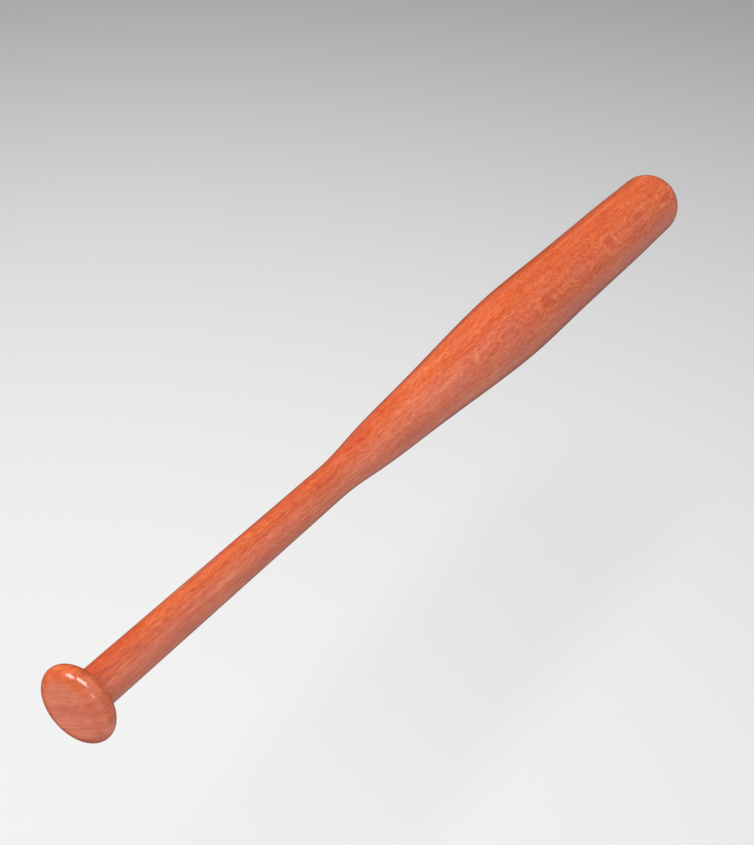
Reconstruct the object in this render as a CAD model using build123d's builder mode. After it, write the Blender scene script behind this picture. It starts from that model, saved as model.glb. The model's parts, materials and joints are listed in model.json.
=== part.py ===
from build123d import *
import os

os.makedirs("parts", exist_ok=True)

# A turned wooden baseball bat that lies along X. The turning axis is the X axis, x = 0 is the
# flat end face of the knob, the barrel's crown points to +X, and +Z is up. Millimetres.

# Driving dimensions of the outside
bat_length = 838.2  # over all, 33 in
knob_diameter = 51.6
knob_thickness = 16.0
knob_face_diameter = 30.0  # the flat of the knob's end face, inside its round rim
handle_diameter = 26.2
handle_length = 252.0  # the straight grip, from the knob to where the taper starts
barrel_diameter = 60.2
barrel_length = 90.0  # the truly cylindrical stretch
shoulder_swell = 0.7  # how much fuller than the barrel the radius is at the top of the taper
shoulder_length = 92.0  # from that fullest point down to the straight barrel
crown_draw_in = 0.8  # how much the radius draws in before the domed end
closing_length = 76.8  # over which it draws in
crown_length = 25.4  # how far the dome stands out

# The taper's profile: (share of its length, share of its rise) at the points between its ends
taper_shape = [(0.17, 0.21), (0.375, 0.43), (0.71, 0.80)]

# Driving dimensions of the knob joint: a split tenon in a blind mortise, spread by a wedge
tenon_shoulder = 3.5  # width of the seat left around the tenon
tenon_chamfer = 0.8
knob_web = 4.0  # wood left between the mortise and the knob's end face
kerf_heel = 3.0  # uncut tenon between the kerf and the seat
wedge_butt = 3.0  # thickness at the mortise floor
wedge_tip = 1.2
wedge_inset = 0.6  # how far each edge of the wedge stays inside the tenon
glue_line = 0.05  # clearance on every glued face but the seat, which closes wood to wood

# Radii
knob_radius = knob_diameter / 2
knob_face_radius = knob_face_diameter / 2
handle_radius = handle_diameter / 2
barrel_radius = barrel_diameter / 2
shoulder_radius = barrel_radius + shoulder_swell
crown_radius = barrel_radius - crown_draw_in
tenon_radius = handle_radius - tenon_shoulder

# Stations along the axis, from the knob to the crown
seat_x = knob_thickness
taper_start = seat_x + handle_length
crown_start = bat_length - crown_length
barrel_end = crown_start - closing_length
barrel_start = barrel_end - barrel_length
shoulder_x = barrel_start - shoulder_length
taper_length = shoulder_x - taper_start
taper_rise = shoulder_radius - handle_radius
tenon_end = knob_web + glue_line
kerf_end = seat_x - kerf_heel
wedge_end = kerf_end - glue_line

# Along the axis: the slope of the outline where two stretches meet smoothly
level = (1, 0)

taper_points = [(taper_start, handle_radius)]
for share_along, share_up in taper_shape:
    taper_points.append((taper_start + share_along * taper_length, handle_radius + share_up * taper_rise))
taper_points.append((shoulder_x, shoulder_radius))


# Barrel, taper and handle: one billet, turned, with a round tenon left at the handle's end
with BuildPart() as bat_body:
    with BuildSketch(Plane.XZ):
        with BuildLine():
            Polyline(
                (crown_start, 0),
                (tenon_end, 0),
                (tenon_end, tenon_radius - tenon_chamfer),
                (tenon_end + tenon_chamfer, tenon_radius),
                (seat_x, tenon_radius),
                (seat_x, handle_radius),
                (taper_start, handle_radius),
            )
            Spline(taper_points, tangents=[level, level])
            Spline([(shoulder_x, shoulder_radius), (barrel_start, barrel_radius)], tangents=[level, level])
            Line((barrel_start, barrel_radius), (barrel_end, barrel_radius))
            Spline([(barrel_end, barrel_radius), (crown_start, crown_radius)], tangents=[level, level])
            EllipticalCenterArc(
                (crown_start, 0), x_radius=crown_length, y_radius=crown_radius, start_angle=0, arc_size=90
            )
            Line((bat_length, 0), (crown_start, 0))
        make_face()
    revolve(axis=Axis.X)
    # The saw kerf across the tenon, opened to the wedge's taper
    with BuildSketch(Plane.XY):
        with BuildLine():
            Polyline(
                (knob_web, wedge_butt / 2 + glue_line),
                (kerf_end, wedge_tip / 2 + glue_line),
                (kerf_end, -wedge_tip / 2 - glue_line),
                (knob_web, -wedge_butt / 2 - glue_line),
                close=True,
            )
        make_face()
    extrude(amount=tenon_radius + glue_line, both=True, mode=Mode.SUBTRACT)
bat_body.part.label = "bat_body"

# Knob: a turned disc with a flat end face and a half-elliptical rim, glued on over the tenon
with BuildPart() as knob:
    with BuildSketch(Plane.XZ):
        with BuildLine():
            Polyline(
                (0, knob_face_radius),
                (0, 0),
                (knob_thickness, 0),
                (knob_thickness, knob_face_radius),
            )
            EllipticalCenterArc(
                (knob_thickness / 2, knob_face_radius),
                x_radius=knob_thickness / 2,
                y_radius=knob_radius - knob_face_radius,
                start_angle=0,
                arc_size=180,
            )
        make_face()
    revolve(axis=Axis.X)
    # The blind mortise, open towards the handle
    with BuildSketch(Plane.YZ.offset(knob_web)):
        Circle(tenon_radius + glue_line)
    extrude(amount=knob_thickness - knob_web, mode=Mode.SUBTRACT)
knob.part.label = "knob"

# Wedge: driven into the kerf by the mortise's floor as the knob is pressed home
with BuildPart() as knob_wedge:
    with BuildSketch(Plane.XY):
        with BuildLine():
            Polyline(
                (knob_web, wedge_butt / 2),
                (wedge_end, wedge_tip / 2),
                (wedge_end, -wedge_tip / 2),
                (knob_web, -wedge_butt / 2),
                close=True,
            )
        make_face()
    extrude(amount=tenon_radius - wedge_inset, both=True)
knob_wedge.part.label = "knob_wedge"

export_step(bat_body.part, "parts/bat_body.step")
export_step(knob.part, "parts/knob.step")
export_step(knob_wedge.part, "parts/knob_wedge.step")
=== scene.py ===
import json
import math

import bpy
import numpy as np
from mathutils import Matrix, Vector


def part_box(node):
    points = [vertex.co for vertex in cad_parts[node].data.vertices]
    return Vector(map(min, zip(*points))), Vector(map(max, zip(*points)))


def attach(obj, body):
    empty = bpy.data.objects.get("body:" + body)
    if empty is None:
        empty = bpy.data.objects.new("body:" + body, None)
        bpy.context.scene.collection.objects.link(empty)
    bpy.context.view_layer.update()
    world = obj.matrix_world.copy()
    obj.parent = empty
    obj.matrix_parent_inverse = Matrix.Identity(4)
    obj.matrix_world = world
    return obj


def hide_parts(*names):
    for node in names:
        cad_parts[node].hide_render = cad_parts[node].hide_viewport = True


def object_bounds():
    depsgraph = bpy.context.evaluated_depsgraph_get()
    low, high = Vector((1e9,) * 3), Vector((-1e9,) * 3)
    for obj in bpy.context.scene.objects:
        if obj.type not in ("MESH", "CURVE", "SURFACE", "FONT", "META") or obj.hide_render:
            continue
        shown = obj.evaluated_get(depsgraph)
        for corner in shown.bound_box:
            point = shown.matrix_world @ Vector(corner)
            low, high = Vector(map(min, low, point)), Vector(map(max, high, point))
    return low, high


bl_info = {
    "name": "Turned Baseball Bat",
    "version": (1, 0, 0),
    "blender": (4, 5, 0),
    "location": "View3D > Sidebar > Bat",
    "description": "A turned, stained and lacquered wooden bat with a fitted knob, on a studio floor",
    "category": "Add Mesh",
}

# The bat lies along X: x = 0 is the flat end face of the knob, the barrel points to +X, +Z is up.
# Everything is in metres, in the same frame as the CAD model.
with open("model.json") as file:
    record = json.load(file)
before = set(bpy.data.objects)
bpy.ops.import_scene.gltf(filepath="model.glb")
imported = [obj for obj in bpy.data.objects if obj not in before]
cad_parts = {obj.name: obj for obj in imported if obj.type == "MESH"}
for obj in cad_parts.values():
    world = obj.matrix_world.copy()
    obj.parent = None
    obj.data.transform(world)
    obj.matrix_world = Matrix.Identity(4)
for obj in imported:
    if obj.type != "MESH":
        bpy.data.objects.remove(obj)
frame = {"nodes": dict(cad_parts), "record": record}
CAD_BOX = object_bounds()
KNOB_LOW, KNOB_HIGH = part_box("knob")
BODY_LOW, BODY_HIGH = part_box("bat_body")
WEDGE_LOW, WEDGE_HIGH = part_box("knob_wedge")
MOUNTS = {mount["name"]: mount for mount in frame["record"]["mounts"]}
GRIP = MOUNTS["grip"]
BARREL = MOUNTS["barrel"]
MM = 0.001

BODY_FACETS = 160
KNOB_FACETS = 192
SHARP_FROM = math.radians(35)
SAW_CLEARANCE = 1.0 * MM

# The figure of the wood: how deep its growth layers wave along the bat, how thick a layer is, half
# the length and width of an eye, and the radii between which the figure fades in.
WAVE_DEPTH = 2.4 * MM
LAYER_THICKNESS = 1.0 * MM
EYE_HALF_LENGTH = 7.5 * MM
EYE_HALF_WIDTH = 4.5 * MM
FIGURE_FROM = 19.0 * MM
FIGURE_FULL = 27.0 * MM

FLOOR_REACH = 40.0
FLOOR_CORNERS = 96


# ---------------------------------------------------------------- sizes and colours

class BatOutline(bpy.types.PropertyGroup):
    """The outline that the lathe follows, from the knob's end face to the top of the dome."""

    knob_thickness: bpy.props.FloatProperty(
        name="Knob thickness",
        description="From the knob's end face to the handle",
        default=KNOB_HIGH.x - KNOB_LOW.x,
        unit="LENGTH",
    )
    knob_radius: bpy.props.FloatProperty(
        name="Knob radius",
        description="At the fullest point of the knob's round rim",
        default=min(KNOB_HIGH.y, KNOB_HIGH.z),
        unit="LENGTH",
    )
    knob_face_radius: bpy.props.FloatProperty(
        name="Knob face radius",
        description="The flat of the knob's end face, inside its round rim",
        default=15.0 * MM,
        unit="LENGTH",
    )
    handle_radius: bpy.props.FloatProperty(
        name="Handle radius",
        description="Half the width of the straight grip",
        default=GRIP["dims"]["r_mm"] * MM,
        unit="LENGTH",
    )
    handle_end: bpy.props.FloatProperty(
        name="Handle end",
        description="Distance from the knob's end face to the start of the taper",
        default=GRIP["pos_m"][0] + GRIP["dims"]["length_mm"] * MM / 2,
        unit="LENGTH",
    )
    shoulder_x: bpy.props.FloatProperty(
        name="Shoulder station",
        description="Distance from the knob's end face to the fullest point of the bat",
        default=554.0 * MM,
        unit="LENGTH",
    )
    shoulder_radius: bpy.props.FloatProperty(
        name="Shoulder radius",
        description="The radius at the fullest point of the bat",
        default=min(BODY_HIGH.y, BODY_HIGH.z),
        unit="LENGTH",
    )
    barrel_radius: bpy.props.FloatProperty(
        name="Barrel radius",
        description="The radius of the straight part of the barrel",
        default=BARREL["dims"]["r_mm"] * MM,
        unit="LENGTH",
    )
    barrel_start: bpy.props.FloatProperty(
        name="Barrel start",
        description="Where the straight part of the barrel begins",
        default=BARREL["pos_m"][0] - BARREL["dims"]["length_mm"] * MM / 2,
        unit="LENGTH",
    )
    barrel_end: bpy.props.FloatProperty(
        name="Barrel end",
        description="Where the straight part of the barrel ends",
        default=BARREL["pos_m"][0] + BARREL["dims"]["length_mm"] * MM / 2,
        unit="LENGTH",
    )
    crown_radius: bpy.props.FloatProperty(
        name="Crown radius",
        description="The radius at the foot of the domed end",
        default=29.3 * MM,
        unit="LENGTH",
    )
    crown_length: bpy.props.FloatProperty(
        name="Crown length",
        description="How far the domed end stands out",
        default=25.4 * MM,
        unit="LENGTH",
    )
    bat_length: bpy.props.FloatProperty(
        name="Length",
        description="Over all, from the knob's end face to the top of the dome",
        default=BODY_HIGH.x,
        unit="LENGTH",
    )
    tenon_start: bpy.props.FloatProperty(
        name="Tenon end",
        description="Where the tenon ends inside the knob",
        default=BODY_LOW.x,
        unit="LENGTH",
    )
    tenon_radius: bpy.props.FloatProperty(
        name="Tenon radius",
        description="The radius of the tenon and of the mortise that it fills",
        default=9.6 * MM,
        unit="LENGTH",
    )
    tenon_chamfer: bpy.props.FloatProperty(
        name="Tenon chamfer",
        description="The bevel round the end of the tenon",
        default=0.8 * MM,
        unit="LENGTH",
    )
    glue_line: bpy.props.FloatProperty(
        name="Glue line",
        description="The gap that the glue fills round the wedge and under the tenon",
        default=0.05 * MM,
        unit="LENGTH",
    )
    kerf_heel: bpy.props.FloatProperty(
        name="Kerf heel",
        description="The solid wood left between the saw cut in the tenon and the handle",
        default=3.0 * MM,
        unit="LENGTH",
    )
    wedge_tip: bpy.props.FloatProperty(
        name="Wedge tip",
        description="The wedge's thickness at its thin end",
        default=1.2 * MM,
        unit="LENGTH",
    )


class BatFinish(bpy.types.PropertyGroup):
    """The stain, the figure of the wood and the lacquer."""

    stain_light: bpy.props.FloatVectorProperty(
        name="Light stain",
        description="The stain where the wood took the least of it",
        default=(0.89, 0.245, 0.112),
        subtype="COLOR",
        min=0.0,
        max=1.0,
    )
    stain_mid: bpy.props.FloatVectorProperty(
        name="Stain",
        description="The main red-orange of the stained wood",
        default=(0.76, 0.134, 0.035),
        subtype="COLOR",
        min=0.0,
        max=1.0,
    )
    stain_dark: bpy.props.FloatVectorProperty(
        name="Dark stain",
        description="The stain in the dense streaks and the growth rings",
        default=(0.56, 0.058, 0.010),
        subtype="COLOR",
        min=0.0,
        max=1.0,
    )
    stain_rose: bpy.props.FloatVectorProperty(
        name="Rose stain",
        description="The pinker cast of some patches of the wood",
        default=(0.64, 0.100, 0.066),
        subtype="COLOR",
        min=0.0,
        max=1.0,
    )
    pore_colour: bpy.props.FloatVectorProperty(
        name="Pore colour",
        description="The stain that settled in the open pores",
        default=(0.30, 0.035, 0.014),
        subtype="COLOR",
        min=0.0,
        max=1.0,
    )
    bare_wood: bpy.props.FloatVectorProperty(
        name="Bare wood",
        description="The unstained wood of the wedge",
        default=(0.48, 0.27, 0.12),
        subtype="COLOR",
        min=0.0,
        max=1.0,
    )
    figure_period: bpy.props.FloatProperty(
        name="Figure period",
        description="The distance along the bat from one ringed eye to the next",
        default=0.122,
        unit="LENGTH",
    )
    figure_start: bpy.props.FloatProperty(
        name="Figure start",
        description="The station of one of the ringed eyes",
        default=0.616,
        unit="LENGTH",
    )
    figure_side: bpy.props.FloatProperty(
        name="Figure side",
        description="The flat-grained side of the bat, as a turn from +Y towards +Z",
        default=math.radians(136),
        subtype="ANGLE",
    )
    knob_grain: bpy.props.FloatProperty(
        name="Knob grain",
        description="The way the grain runs across the knob's face, as a turn from +Y towards +Z",
        default=math.radians(154),
        subtype="ANGLE",
    )
    lacquer_roughness: bpy.props.FloatProperty(
        name="Lacquer roughness",
        description="How soft the reflections in the clear lacquer are",
        default=0.1,
        min=0.0,
        max=1.0,
    )


class StudioSetup(bpy.types.PropertyGroup):
    """The floor, the lights and the camera."""

    floor_drop: bpy.props.FloatProperty(
        name="Floor drop",
        description="How far the floor lies below the bat's axis",
        default=0.45,
        unit="LENGTH",
    )
    floor_colour: bpy.props.FloatVectorProperty(
        name="Floor",
        description="The pale floor",
        default=(0.60, 0.60, 0.60),
        subtype="COLOR",
        min=0.0,
        max=1.0,
    )
    key_distance: bpy.props.FloatProperty(
        name="Key distance",
        description="From the knob to the two softboxes",
        default=6.0,
        unit="LENGTH",
    )
    key_brightness: bpy.props.FloatProperty(
        name="Key brightness",
        description="The radiance of the two softboxes",
        default=5.4,
    )
    room_brightness: bpy.props.FloatProperty(
        name="Room brightness",
        description="The even light of the room",
        default=0.52,
    )
    wash_brightness: bpy.props.FloatProperty(
        name="Floor wash",
        description="The radiance of the shadowless panel that lights the floor alone",
        default=40.2,
    )
    shade_brightness: bpy.props.FloatProperty(
        name="Floor shade",
        description="The radiance of the panel that lays the bat's faint shadow on the floor",
        default=7.2,
    )
    camera_place: bpy.props.FloatVectorProperty(
        name="Camera place",
        description="Where the camera stands",
        default=(-0.4536, -0.4837, 0.5928),
        subtype="TRANSLATION",
    )
    camera_tilt: bpy.props.FloatProperty(
        name="Camera tilt",
        description="How far the camera looks down",
        default=math.radians(32.068),
        subtype="ANGLE",
    )
    camera_turn: bpy.props.FloatProperty(
        name="Camera turn",
        description="The camera's turn about the vertical, from looking along +Y",
        default=math.radians(-58.268),
        subtype="ANGLE",
    )
    camera_lens: bpy.props.FloatProperty(
        name="Lens",
        description="The focal length, in millimetres on a 36 mm sensor",
        default=65.09,
    )


# ---------------------------------------------------------------- surfaces

def level_spline(knots_x, knots_r, x):
    """Radius at the stations x of the smoothest curve through the knots that is level at both ends.

    Between two knots it is a cubic. The slopes at the inner knots are the ones that make the
    curvature the same on both sides, found by solving one small linear system.
    """
    knots_x = np.asarray(knots_x, float)
    knots_r = np.asarray(knots_r, float)
    gap = np.diff(knots_x)
    rise = np.diff(knots_r) / gap
    count = len(knots_x)
    system = np.eye(count)
    right = np.zeros(count)
    for i in range(1, count - 1):
        system[i, i - 1] = gap[i]
        system[i, i] = 2 * (gap[i - 1] + gap[i])
        system[i, i + 1] = gap[i - 1]
        right[i] = 3 * (gap[i] * rise[i - 1] + gap[i - 1] * rise[i])
    slope = np.linalg.solve(system, right)
    piece = np.clip(np.searchsorted(knots_x, x, side="right") - 1, 0, count - 2)
    t = (x - knots_x[piece]) / gap[piece]
    first = knots_r[piece] * (1 + 2 * t) * (1 - t) ** 2
    last = knots_r[piece + 1] * t * t * (3 - 2 * t)
    leave = slope[piece] * gap[piece] * t * (1 - t) ** 2
    arrive = slope[piece + 1] * gap[piece] * t * t * (t - 1)
    return first + last + leave + arrive


def stretch(start, end, count):
    """Evenly spaced values from start up to, and without, end."""
    return start + (end - start) * np.arange(count) / count


def lathe(name, outline, around):
    """A closed surface turned about the X axis.

    Each point of the outline, a station and a radius, is carried round the axis in equal shares of
    a whole turn: x is the station, y the radius times the cosine of the turn, and z the radius
    times its sine. The outline starts and ends on the axis, and each of those ends is one point of
    the mesh. Seen along the outline, the outside is on the left.
    """
    inner = outline[1:-1]
    angle = 2 * np.pi * np.arange(around) / around
    rings = np.empty((len(inner), around, 3))
    rings[:, :, 0] = inner[:, :1]
    rings[:, :, 1] = inner[:, 1:] * np.cos(angle)
    rings[:, :, 2] = inner[:, 1:] * np.sin(angle)
    poles = np.zeros((2, 3))
    poles[:, 0] = outline[[0, -1], 0]
    points = np.vstack([rings.reshape(-1, 3), poles])
    first_pole = len(points) - 2
    index = np.arange(len(inner) * around).reshape(len(inner), around)
    after = np.roll(index, -1, axis=1)
    quads = np.stack([index[:-1], after[:-1], after[1:], index[1:]], axis=-1).reshape(-1, 4)
    start = np.stack([np.full(around, first_pole), after[0], index[0]], axis=-1)
    end = np.stack([np.full(around, first_pole + 1), index[-1], after[-1]], axis=-1)
    mesh = bpy.data.meshes.new(name)
    mesh.from_pydata(points.tolist(), [], quads.tolist() + start.tolist() + end.tolist())
    mesh.shade_smooth()
    mesh.set_sharp_from_angle(angle=SHARP_FROM)
    mesh.validate()
    return mesh


def show(mesh, node):
    """Puts a finished mesh in the scene in place of a CAD node."""
    piece = bpy.data.objects.new(mesh.name, mesh)
    bpy.context.scene.collection.objects.link(piece)
    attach(piece, "root")
    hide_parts(node)
    return piece


def taper_stations(size):
    """The chosen points of the taper, as stations and radii. The taper is nearly straight at first."""
    share_of_length = np.array([0.0, 0.17, 0.375, 0.71, 1.0])
    share_of_rise = np.array([0.0, 0.21, 0.43, 0.80, 1.0])
    x = size.handle_end + share_of_length * (size.shoulder_x - size.handle_end)
    r = size.handle_radius + share_of_rise * (size.shoulder_radius - size.handle_radius)
    return x, r


def body_outline(size):
    """The body's outline from the end of its tenon to the top of the dome, as rows of (x, r).

    Handle: straight. Taper: a smooth curve through the chosen points, level at both ends.
    Shoulder and closing: cubics that are level at both ends. Crown: a quarter of an ellipse.
    """
    seat = size.knob_thickness
    crown_start = size.bat_length - size.crown_length
    corner_x = size.tenon_start + size.tenon_chamfer
    tenon = np.array([
        [size.tenon_start, 0.0],
        [size.tenon_start, size.tenon_radius - size.tenon_chamfer],
        [corner_x, size.tenon_radius],
        [seat, size.tenon_radius],
        [seat, size.handle_radius],
    ])
    handle_x = stretch(seat, size.handle_end, 36)[1:]
    taper_x = stretch(size.handle_end, size.shoulder_x, 110)
    shoulder_x = stretch(size.shoulder_x, size.barrel_start, 36)
    barrel_x = stretch(size.barrel_start, size.barrel_end, 16)
    closing_x = stretch(size.barrel_end, crown_start, 28)
    x = np.concatenate([handle_x, taper_x, shoulder_x, barrel_x, closing_x])
    knots_x, knots_r = taper_stations(size)
    taper = level_spline(knots_x, knots_r, taper_x)
    shoulder = level_spline(
        [size.shoulder_x, size.barrel_start], [size.shoulder_radius, size.barrel_radius], shoulder_x
    )
    closing = level_spline(
        [size.barrel_end, crown_start], [size.barrel_radius, size.crown_radius], closing_x
    )
    r = np.concatenate([
        np.full(len(handle_x), size.handle_radius),
        taper,
        shoulder,
        np.full(len(barrel_x), size.barrel_radius),
        closing,
    ])
    turn = np.linspace(0, np.pi / 2, 49)
    crown = np.stack([
        crown_start + size.crown_length * np.sin(turn),
        size.crown_radius * np.cos(turn),
    ], axis=-1)
    crown[-1, 1] = 0.0
    return np.vstack([tenon, np.stack([x, r], axis=-1), crown])


def knob_outline(size):
    """The knob's outline from the centre of its end face, round the rim and down the mortise.

    The rim is half an ellipse, as deep as the knob is thick, that stands on the flat's edge.
    """
    turn = np.linspace(-np.pi / 2, np.pi / 2, 65)
    half = size.knob_thickness / 2
    rim = np.stack([
        half + half * np.sin(turn),
        size.knob_face_radius + (size.knob_radius - size.knob_face_radius) * np.cos(turn),
    ], axis=-1)
    face_r = stretch(0.0, size.knob_face_radius, 8)
    face = np.stack([np.zeros_like(face_r), face_r], axis=-1)
    mortise_floor = size.tenon_start - size.glue_line
    mortise = np.array([
        [size.knob_thickness, size.tenon_radius],
        [mortise_floor, size.tenon_radius],
        [mortise_floor, 0.0],
    ])
    return np.vstack([face, rim, mortise])


def kerf_cutter(size):
    """The wedge-shaped room of the saw cut in the tenon, as a closed six-sided block."""
    near = size.tenon_start - SAW_CLEARANCE
    far = size.knob_thickness - size.kerf_heel
    butt = WEDGE_HIGH.z - WEDGE_LOW.z
    shrink = (butt - size.wedge_tip) / (WEDGE_HIGH.x - WEDGE_LOW.x)
    high_near = butt / 2 + size.glue_line + shrink / 2 * (WEDGE_LOW.x - near)
    high_far = size.wedge_tip / 2 + size.glue_line
    wide = size.tenon_radius + SAW_CLEARANCE
    corners = [
        (x, y, side * high)
        for x, high in ((near, high_near), (far, high_far))
        for y in (-wide, wide)
        for side in (-1, 1)
    ]
    faces = [(0, 1, 3, 2), (4, 6, 7, 5), (0, 4, 5, 1), (2, 3, 7, 6), (0, 2, 6, 4), (1, 5, 7, 3)]
    mesh = bpy.data.meshes.new("kerf")
    mesh.from_pydata(corners, [], faces)
    return mesh


def cut_kerf(mesh, size):
    """Saws the slot for the wedge into the tenon, and returns the cut mesh."""
    body = bpy.data.objects.new("uncut", mesh)
    saw = bpy.data.objects.new("saw", kerf_cutter(size))
    for item in (body, saw):
        bpy.context.scene.collection.objects.link(item)
    cut = body.modifiers.new("kerf", "BOOLEAN")
    cut.object = saw
    cut.operation = "DIFFERENCE"
    cut.solver = "EXACT"
    seen = body.evaluated_get(bpy.context.evaluated_depsgraph_get())
    finished = bpy.data.meshes.new_from_object(seen)
    finished.name = "turned_body"
    bpy.data.objects.remove(body)
    bpy.data.objects.remove(saw)
    finished.set_sharp_from_angle(angle=SHARP_FROM)
    return finished


# ---------------------------------------------------------------- materials

def place(tree, kind, **settings):
    """A new node with its settings."""
    made = tree.nodes.new(kind)
    for name, value in settings.items():
        setattr(made, name, value)
    return made


def maths(tree, a, operation, b=0.0):
    """A math node on one or two links or numbers. Returns its output."""
    made = place(tree, "ShaderNodeMath", operation=operation)
    for socket, value in zip(made.inputs, (a, b)):
        if isinstance(value, (int, float)):
            socket.default_value = value
        else:
            tree.links.new(value, socket)
    return made.outputs[0]


def plus(tree, a, b):
    """The sum of two links or numbers."""
    return maths(tree, a, "ADD", b)


def minus(tree, a, b):
    """One link or number less another."""
    return maths(tree, a, "SUBTRACT", b)


def times(tree, a, b):
    """The product of two links or numbers."""
    return maths(tree, a, "MULTIPLY", b)


def stretched_noise(tree, vector, scale, detail, roughness=0.5):
    """Noise with its own scale along and across the grain, in cells to the metre. Returns its value."""
    size = place(tree, "ShaderNodeVectorMath", operation="MULTIPLY")
    tree.links.new(vector, size.inputs[0])
    size.inputs[1].default_value = scale
    noise = place(tree, "ShaderNodeTexNoise")
    noise.inputs["Scale"].default_value = 1.0
    noise.inputs["Detail"].default_value = detail
    noise.inputs["Roughness"].default_value = roughness
    tree.links.new(size.outputs[0], noise.inputs["Vector"])
    return noise.outputs["Fac"]


def remap(tree, value, low, high, to_low=0.0, to_high=1.0):
    """A value taken smoothly from one range to another, and held at both ends."""
    made = place(tree, "ShaderNodeMapRange", interpolation_type="SMOOTHSTEP")
    tree.links.new(value, made.inputs["Value"])
    made.inputs["From Min"].default_value = low
    made.inputs["From Max"].default_value = high
    made.inputs["To Min"].default_value = to_low
    made.inputs["To Max"].default_value = to_high
    return made.outputs["Result"]


def mix_colour(tree, share, first, second):
    """A blend of two colours, each a link or a plain colour. Returns its output."""
    made = place(tree, "ShaderNodeMix", data_type="RGBA")
    tree.links.new(share, made.inputs[0])
    for socket, value in zip((made.inputs[6], made.inputs[7]), (first, second)):
        if isinstance(value, bpy.types.NodeSocket):
            tree.links.new(value, socket)
        else:
            socket.default_value = (*value, 1.0)
    return made.outputs[2]


def grain_frame(tree, turn=(0, 0, 0), slide=(0, 0, 0), spread=1.0):
    """Object coordinates turned so that the grain runs along X. Returns the vector.

    A spread above one draws the pattern out along Y, so that fibres become sheets.
    """
    coordinates = place(tree, "ShaderNodeTexCoord")
    mapping = place(tree, "ShaderNodeMapping", vector_type="TEXTURE")
    tree.links.new(coordinates.outputs["Object"], mapping.inputs["Vector"])
    mapping.inputs["Rotation"].default_value = turn
    mapping.inputs["Location"].default_value = slide
    mapping.inputs["Scale"].default_value = (1.0, spread, 1.0)
    return mapping.outputs["Vector"]


def growth_layers(tree, vector, finish, wander):
    """The growth layers that the lathe cut through, as a change of tone and a share of rose.

    A layer's depth is the distance from the flat-grained side, plus a wave along the bat, so the
    cut shows closed rings round each crest and each trough of the wave. Each trough has a dark
    spot with a light ring at its middle and each crest a wider rosy patch, on the barrel only.
    """
    axes = place(tree, "ShaderNodeSeparateXYZ")
    tree.links.new(vector, axes.inputs[0])
    x, y, z = axes.outputs
    across = times(tree, y, math.cos(finish.figure_side))
    up = times(tree, z, math.sin(finish.figure_side))
    outward = plus(tree, across, up)
    radius = maths(tree, plus(tree, times(tree, y, y), times(tree, z, z)), "POWER", 0.5)
    depth = minus(tree, radius, outward)
    along = minus(tree, x, finish.figure_start)
    strayed = plus(tree, along, times(tree, wander, 3.0))
    wave = maths(tree, times(tree, strayed, 2 * math.pi / finish.figure_period), "COSINE")
    lifted = minus(tree, depth, times(tree, wave, WAVE_DEPTH))
    layer = plus(tree, lifted, wander)
    rings = maths(tree, times(tree, layer, 2 * math.pi / LAYER_THICKNESS), "SINE")
    arc = times(tree, times(tree, radius, depth), 2 / EYE_HALF_WIDTH ** 2)
    near_trough = eye_distance(tree, wave, 1.0, finish.figure_period, arc)
    near_crest = eye_distance(tree, wave, -1.0, finish.figure_period, arc)
    spot = remap(tree, near_trough, 0.1, 2.6, -0.20, 0.0)
    halo = remap(tree, minus(tree, near_trough, 2.6), -1.2, 0.0, 0.0, 0.10)
    fade = remap(tree, near_trough, 3.0, 6.0, 1.0, 0.0)
    patch = remap(tree, near_crest, 0.5, 5.0, 1.0, 0.0)
    eyes = plus(tree, spot, times(tree, halo, fade))
    near = remap(tree, maths(tree, near_crest, "MINIMUM", near_trough), 2.0, 16.0, 0.14, 0.0)
    drawn = plus(tree, eyes, times(tree, rings, near))
    on_barrel = remap(tree, radius, FIGURE_FROM, FIGURE_FULL)
    return times(tree, drawn, on_barrel), times(tree, patch, on_barrel)


def eye_distance(tree, wave, sign, period, arc):
    """The square of the distance from the nearest eye, in half lengths of the eye.

    The eyes lie at the troughs of the wave where the sign is one, and at its crests where it is
    minus one. The arc is the share of the square that is measured round the bat.
    """
    away = plus(tree, times(tree, wave, sign), 1.0)
    half_lengths = period / EYE_HALF_LENGTH / (2 * math.pi)
    return plus(tree, times(tree, away, 2 * half_lengths ** 2), arc)


def swing(tree, value, amount):
    """How far a value of about a half strays from it, times an amount."""
    return times(tree, minus(tree, value, 0.5), amount)


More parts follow.
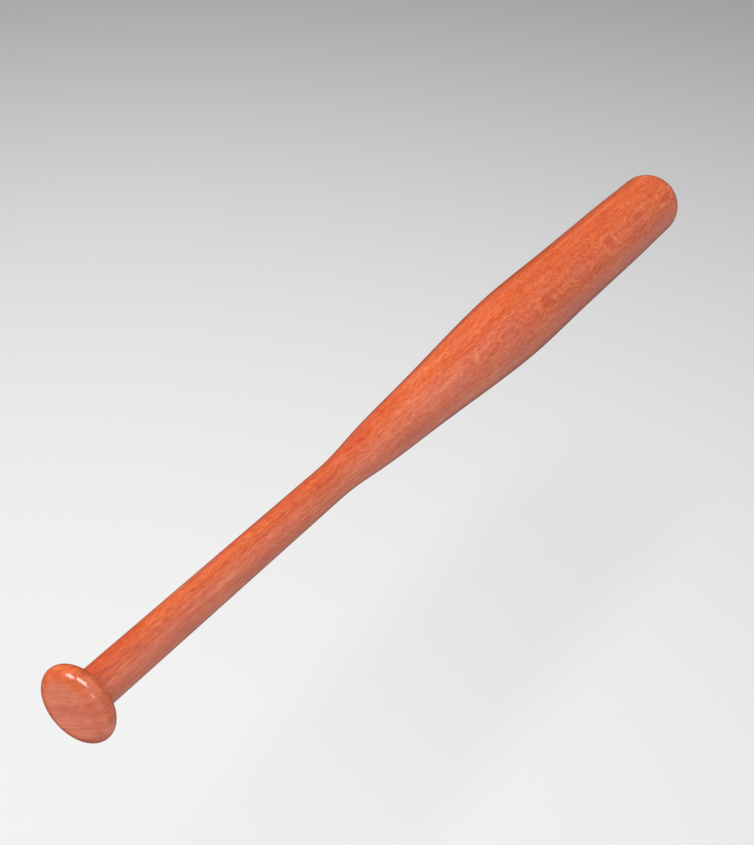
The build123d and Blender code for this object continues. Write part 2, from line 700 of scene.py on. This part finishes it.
def wood_colour(tree, vector, finish, contrast):
    """The stained wood's colour, and its fibres and pores for the bump. Returns three outputs."""
    wander = swing(tree, stretched_noise(tree, vector, (9.0, 70.0, 70.0), 2.0), 0.005)
    streaks = stretched_noise(tree, vector, (4.5, 105.0, 105.0), 3.0, 0.55)
    clouds = stretched_noise(tree, vector, (22.0, 60.0, 60.0), 3.0, 0.5)
    threads = stretched_noise(tree, vector, (16.0, 420.0, 420.0), 2.0, 0.55)
    fibres = stretched_noise(tree, vector, (140.0, 1000.0, 1000.0), 2.0, 0.6)
    blush = stretched_noise(tree, vector, (16.0, 90.0, 90.0), 2.0)
    pores = stretched_noise(tree, vector, (190.0, 2100.0, 2100.0), 1.0)
    layers, patch = growth_layers(tree, vector, finish, wander)
    tone = plus(tree, layers, 0.5)
    for value, amount in ((fibres, 1.7), (threads, 0.65), (clouds, 0.4), (streaks, 1.2)):
        tone = plus(tree, tone, swing(tree, value, amount * contrast))
    ramp = place(tree, "ShaderNodeValToRGB")
    tree.links.new(tone, ramp.inputs["Fac"])
    stops = ramp.color_ramp.elements
    stops[0].color = (*finish.stain_dark, 1.0)
    stops[1].color = (*finish.stain_light, 1.0)
    stops.new(0.5).color = (*finish.stain_mid, 1.0)
    rosy = plus(tree, remap(tree, blush, 0.45, 0.7, 0.0, 0.35), times(tree, patch, 0.32))
    stained = mix_colour(tree, rosy, ramp.outputs["Color"], finish.stain_rose)
    pored = mix_colour(tree, remap(tree, pores, 0.62, 0.78, 0.0, 0.3), stained, finish.pore_colour)
    return pored, fibres, pores


def new_material(name):
    """A new node material. Returns it with its node tree and its shader."""
    material = bpy.data.materials.new(name)
    material.use_nodes = True
    tree = material.node_tree
    return material, tree, tree.nodes["Principled BSDF"]


def lacquered(name, finish, turn=(0, 0, 0), slide=(0, 0, 0), spread=1.0, contrast=1.0):
    """A material of stained wood under clear lacquer."""
    material, tree, shader = new_material(name)
    vector = grain_frame(tree, turn, slide, spread)
    colour, fibres, pores = wood_colour(tree, vector, finish, contrast)
    tree.links.new(colour, shader.inputs["Base Color"])
    bump = place(tree, "ShaderNodeBump")
    bump.inputs["Strength"].default_value = 0.25
    bump.inputs["Distance"].default_value = 0.1 * MM
    tree.links.new(minus(tree, fibres, times(tree, pores, 0.6)), bump.inputs["Height"])
    tree.links.new(bump.outputs["Normal"], shader.inputs["Normal"])
    tree.links.new(remap(tree, fibres, 0.3, 0.7, 0.5, 0.4), shader.inputs["Roughness"])
    shader.inputs["Specular IOR Level"].default_value = 0.3
    shader.inputs["Coat Weight"].default_value = 1.0
    shader.inputs["Coat Roughness"].default_value = finish.lacquer_roughness
    shader.inputs["Coat IOR"].default_value = 1.8
    return material


def bare_wood(finish):
    """The wedge's pale, dry, straight-grained wood."""
    material, tree, shader = new_material("wedge_bare_wood")
    vector = grain_frame(tree)
    lines = stretched_noise(tree, vector, (60.0, 900.0, 900.0), 3.0)
    darker = [0.7 * part for part in finish.bare_wood]
    colour = mix_colour(tree, remap(tree, lines, 0.4, 0.65), finish.bare_wood, darker)
    tree.links.new(colour, shader.inputs["Base Color"])
    tree.links.new(remap(tree, lines, 0.3, 0.7, 0.6, 0.8), shader.inputs["Roughness"])
    return material


# ---------------------------------------------------------------- stage

def softbox(name, spot, aim, width, height, radiance, receivers):
    """A flat rectangular lamp that lights the receivers. Its power follows from radiance and size."""
    lamp = bpy.data.lights.new(name, "AREA")
    lamp.shape = "RECTANGLE"
    lamp.size = width
    lamp.size_y = height
    lamp.energy = radiance * math.pi * width * height
    item = bpy.data.objects.new(name, lamp)
    item.location = spot
    item.rotation_euler = (aim - spot).to_track_quat("-Z", "Y").to_euler()
    item.light_linking.receiver_collection = receivers
    bpy.context.scene.collection.objects.link(item)
    return item


def floor(stage):
    """A wide, flat, pale floor below the bat."""
    middle = (CAD_BOX[0] + CAD_BOX[1]) / 2
    turn = stretch(0.0, 2 * np.pi, FLOOR_CORNERS)
    rim = np.stack([
        middle.x + FLOOR_REACH * np.cos(turn),
        FLOOR_REACH * np.sin(turn),
        np.full(FLOOR_CORNERS, -stage.floor_drop),
    ], axis=-1)
    mesh = bpy.data.meshes.new("studio_floor")
    mesh.from_pydata(rim.tolist(), [], [list(range(FLOOR_CORNERS))])
    item = bpy.data.objects.new("studio_floor", mesh)
    bpy.context.scene.collection.objects.link(item)
    material, _, shader = new_material("matt_floor")
    shader.inputs["Base Color"].default_value = (*stage.floor_colour, 1.0)
    shader.inputs["Roughness"].default_value = 0.95
    shader.inputs["Specular IOR Level"].default_value = 0.0
    mesh.materials.append(material)
    item.visible_glossy = False
    return item


def room(stage):
    """The even light of the room, dimmer towards +Y and beyond the barrel, with two soft cards."""
    world = bpy.data.worlds.new("studio_room")
    world.use_nodes = True
    tree = world.node_tree
    background = tree.nodes["Background"]
    direction = place(tree, "ShaderNodeTexCoord").outputs["Generated"]
    axes = place(tree, "ShaderNodeSeparateXYZ")
    tree.links.new(direction, axes.inputs[0])
    x, y, z = axes.outputs
    sideways = remap(tree, y, -0.5, 0.35, 1.0, 0.15)
    underneath = remap(tree, z, -0.95, -0.6, 0.42, 0.0)
    upright = plus(tree, remap(tree, z, -0.3, 0.0, 0.75, 1.0), underneath)
    beyond = remap(tree, x, 0.62, 0.82, 0.0, 0.68)
    above = remap(tree, z, -0.6, 0.2, 0.3, 1.0)
    past_barrel = minus(tree, 1.0, times(tree, beyond, above))
    level = times(tree, times(tree, sideways, upright), past_barrel)
    strength = times(tree, level, stage.room_brightness)
    for way, edge, middle, radiance in (
        ((-0.72, 0.445, -0.53), 0.80, 0.95, 0.38),
        ((-0.80, -0.57, -0.18), 0.60, 0.95, 0.28),
    ):
        toward = place(tree, "ShaderNodeVectorMath", operation="DOT_PRODUCT")
        tree.links.new(direction, toward.inputs[0])
        toward.inputs[1].default_value = way
        card = remap(tree, toward.outputs["Value"], edge, middle, 0.0, radiance)
        strength = plus(tree, strength, card)
    tree.links.new(strength, background.inputs["Strength"])
    background.inputs["Color"].default_value = (1.0, 1.0, 1.0, 1.0)
    bpy.context.scene.world = world


def distant(way, distance):
    """The spot at a distance from the middle of the knob, and that middle to aim at."""
    knob = Vector((size_of().knob_thickness / 2, 0, 0))
    return knob + distance * Vector(way).normalized(), knob


def lights(stage, ground):
    """The lamps of the bat, which leave the floor alone.

    Two softboxes side by side above and behind the knob and a small fill beside the camera show
    in the lacquer. Four more light the wood without a reflection.
    """
    all_but_floor = bpy.data.collections.new("not_lit_by_softboxes")
    all_but_floor.objects.link(ground)
    all_but_floor.collection_objects[0].light_linking.link_state = "EXCLUDE"
    reach = stage.key_distance
    for name, way, width, height, radiance, in_lacquer in (
        ("key_left", (-0.57, 0.50, 0.65), 0.34, 0.36, stage.key_brightness, True),
        ("key_right", (-0.52, -0.02, 0.85), 0.49, 0.42, stage.key_brightness, True),
        ("fill", (-0.80, -0.48, 0.38), 0.22, 0.13, 2.6, True),
        ("front", (-0.75, 0.45, 0.48), 0.38, 0.38, 1.9, False),
        ("side", (-0.10, 0.96, 0.25), 0.38, 0.38, 13.0, False),
    ):
        spot, aim = distant(way, reach)
        lamp = softbox(name, spot, aim, width * reach, height * reach, radiance, all_but_floor)
        lamp.visible_glossy = in_lacquer
    barrel = Vector(BARREL["pos_m"])
    for name, offset, width, radiance, shadow in (
        ("overhead", (0.22, 0.30, 1.30), 0.6, 9.3, False),
        ("low_side", (0.35, -1.20, 0.10), 0.8, 1.07, True),
    ):
        lamp = softbox(name, barrel + Vector(offset), barrel, width, width, radiance, all_but_floor)
        lamp.data.use_shadow = shadow
        lamp.visible_glossy = False


def floor_lamps(stage, ground):
    """Two panels over the bat that light the floor alone.

    One fades it into the distance, without shadows, and the other lays the bat's faint, soft
    shadow on it.
    """
    only_floor = bpy.data.collections.new("lit_by_floor_lamps")
    only_floor.objects.link(ground)
    for name, x, y, height, width, radiance, shadow in (
        ("floor_wash", 0.22, 0.54, 2.85, 0.8, stage.wash_brightness, False),
        ("floor_shade", 0.03, -0.36, 2.45, 0.9, stage.shade_brightness, True),
    ):
        under = Vector((x, y, -stage.floor_drop))
        above = under + Vector((0, 0, height))
        panel = softbox(name, above, under, width, width, radiance, only_floor)
        panel.data.use_shadow = shadow
        panel.visible_glossy = False


def camera(stage):
    """The camera, without shift or depth of field."""
    lens = bpy.data.cameras.new("camera")
    lens.sensor_width = 36.0
    lens.sensor_fit = "AUTO"
    lens.lens = stage.camera_lens
    lens.dof.use_dof = False
    lens.clip_start = 0.01
    lens.clip_end = 200.0
    item = bpy.data.objects.new("camera", lens)
    item.location = stage.camera_place
    item.rotation_euler = (math.pi / 2 - stage.camera_tilt, 0.0, stage.camera_turn)
    bpy.context.scene.collection.objects.link(item)
    bpy.context.scene.camera = item


# ---------------------------------------------------------------- operators

def size_of():
    """The sizes of the outline."""
    return bpy.context.scene.bat_outline


def finish_of():
    """The finish of the wood."""
    return bpy.context.scene.bat_finish


class BAT_OT_make_body(bpy.types.Operator):
    """Turn the handle, the barrel and the domed end, with the split tenon that enters the knob"""

    bl_idname = "bat.make_body"
    bl_label = "Turned body"

    def execute(self, context):
        size = size_of()
        mesh = cut_kerf(lathe("body_blank", body_outline(size), BODY_FACETS), size)
        piece = show(mesh, "bat_body")
        piece.data.materials.append(lacquered("body_stained_wood", finish_of()))
        return {"FINISHED"}


class BAT_OT_make_knob(bpy.types.Operator):
    """Turn the round-rimmed knob, with the blind mortise for the tenon"""

    bl_idname = "bat.make_knob"
    bl_label = "Turned knob"

    def execute(self, context):
        mesh = lathe("turned_knob", knob_outline(size_of()), KNOB_FACETS)
        piece = show(mesh, "knob")
        finish = finish_of()
        wood = lacquered(
            "knob_stained_wood",
            finish,
            turn=(0.0, -finish.knob_grain, math.radians(90)),
            slide=(0.3, 0.02, 0.01),
            spread=5.0,
            contrast=0.75,
        )
        piece.data.materials.append(wood)
        return {"FINISHED"}


class BAT_OT_finish_wedge(bpy.types.Operator):
    """Give the hidden wedge its bare wood"""

    bl_idname = "bat.finish_wedge"
    bl_label = "Knob wedge"

    def execute(self, context):
        wedge = frame["nodes"]["knob_wedge"]
        wedge.data.materials.clear()
        wedge.data.materials.append(bare_wood(finish_of()))
        return {"FINISHED"}


class BAT_OT_set_stage(bpy.types.Operator):
    """Lay the floor, hang the lights and stand the camera"""

    bl_idname = "bat.set_stage"
    bl_label = "Stage"

    def execute(self, context):
        stage = context.scene.bat_studio
        context.scene.view_settings.view_transform = "Standard"
        ground = floor(stage)
        room(stage)
        lights(stage, ground)
        floor_lamps(stage, ground)
        camera(stage)
        return {"FINISHED"}


class BAT_PT_panel(bpy.types.Panel):
    """The bat's pieces and the stage"""

    bl_idname = "BAT_PT_panel"
    bl_label = "Baseball bat"
    bl_space_type = "VIEW_3D"
    bl_region_type = "UI"
    bl_category = "Bat"

    def draw(self, context):
        column = self.layout.column()
        for step in STEPS:
            column.operator(step.bl_idname, text=step.bl_label)


STEPS = (BAT_OT_make_body, BAT_OT_make_knob, BAT_OT_finish_wedge, BAT_OT_set_stage)
CLASSES = (BatOutline, BatFinish, StudioSetup, *STEPS, BAT_PT_panel)


def register():
    """Registers the classes and hangs the settings on the scene."""
    for each in CLASSES:
        bpy.utils.register_class(each)
    bpy.types.Scene.bat_outline = bpy.props.PointerProperty(type=BatOutline)
    bpy.types.Scene.bat_finish = bpy.props.PointerProperty(type=BatFinish)
    bpy.types.Scene.bat_studio = bpy.props.PointerProperty(type=StudioSetup)


def unregister():
    """Takes the settings off the scene and unregisters the classes."""
    del bpy.types.Scene.bat_studio
    del bpy.types.Scene.bat_finish
    del bpy.types.Scene.bat_outline
    for each in reversed(CLASSES):
        bpy.utils.unregister_class(each)


def main():
    """Makes every piece and the stage in order."""
    register()
    bpy.ops.bat.make_body()
    bpy.ops.bat.make_knob()
    bpy.ops.bat.finish_wedge()
    bpy.ops.bat.set_stage()
    bpy.context.view_layer.update()


if __name__ == "__main__":
    main()
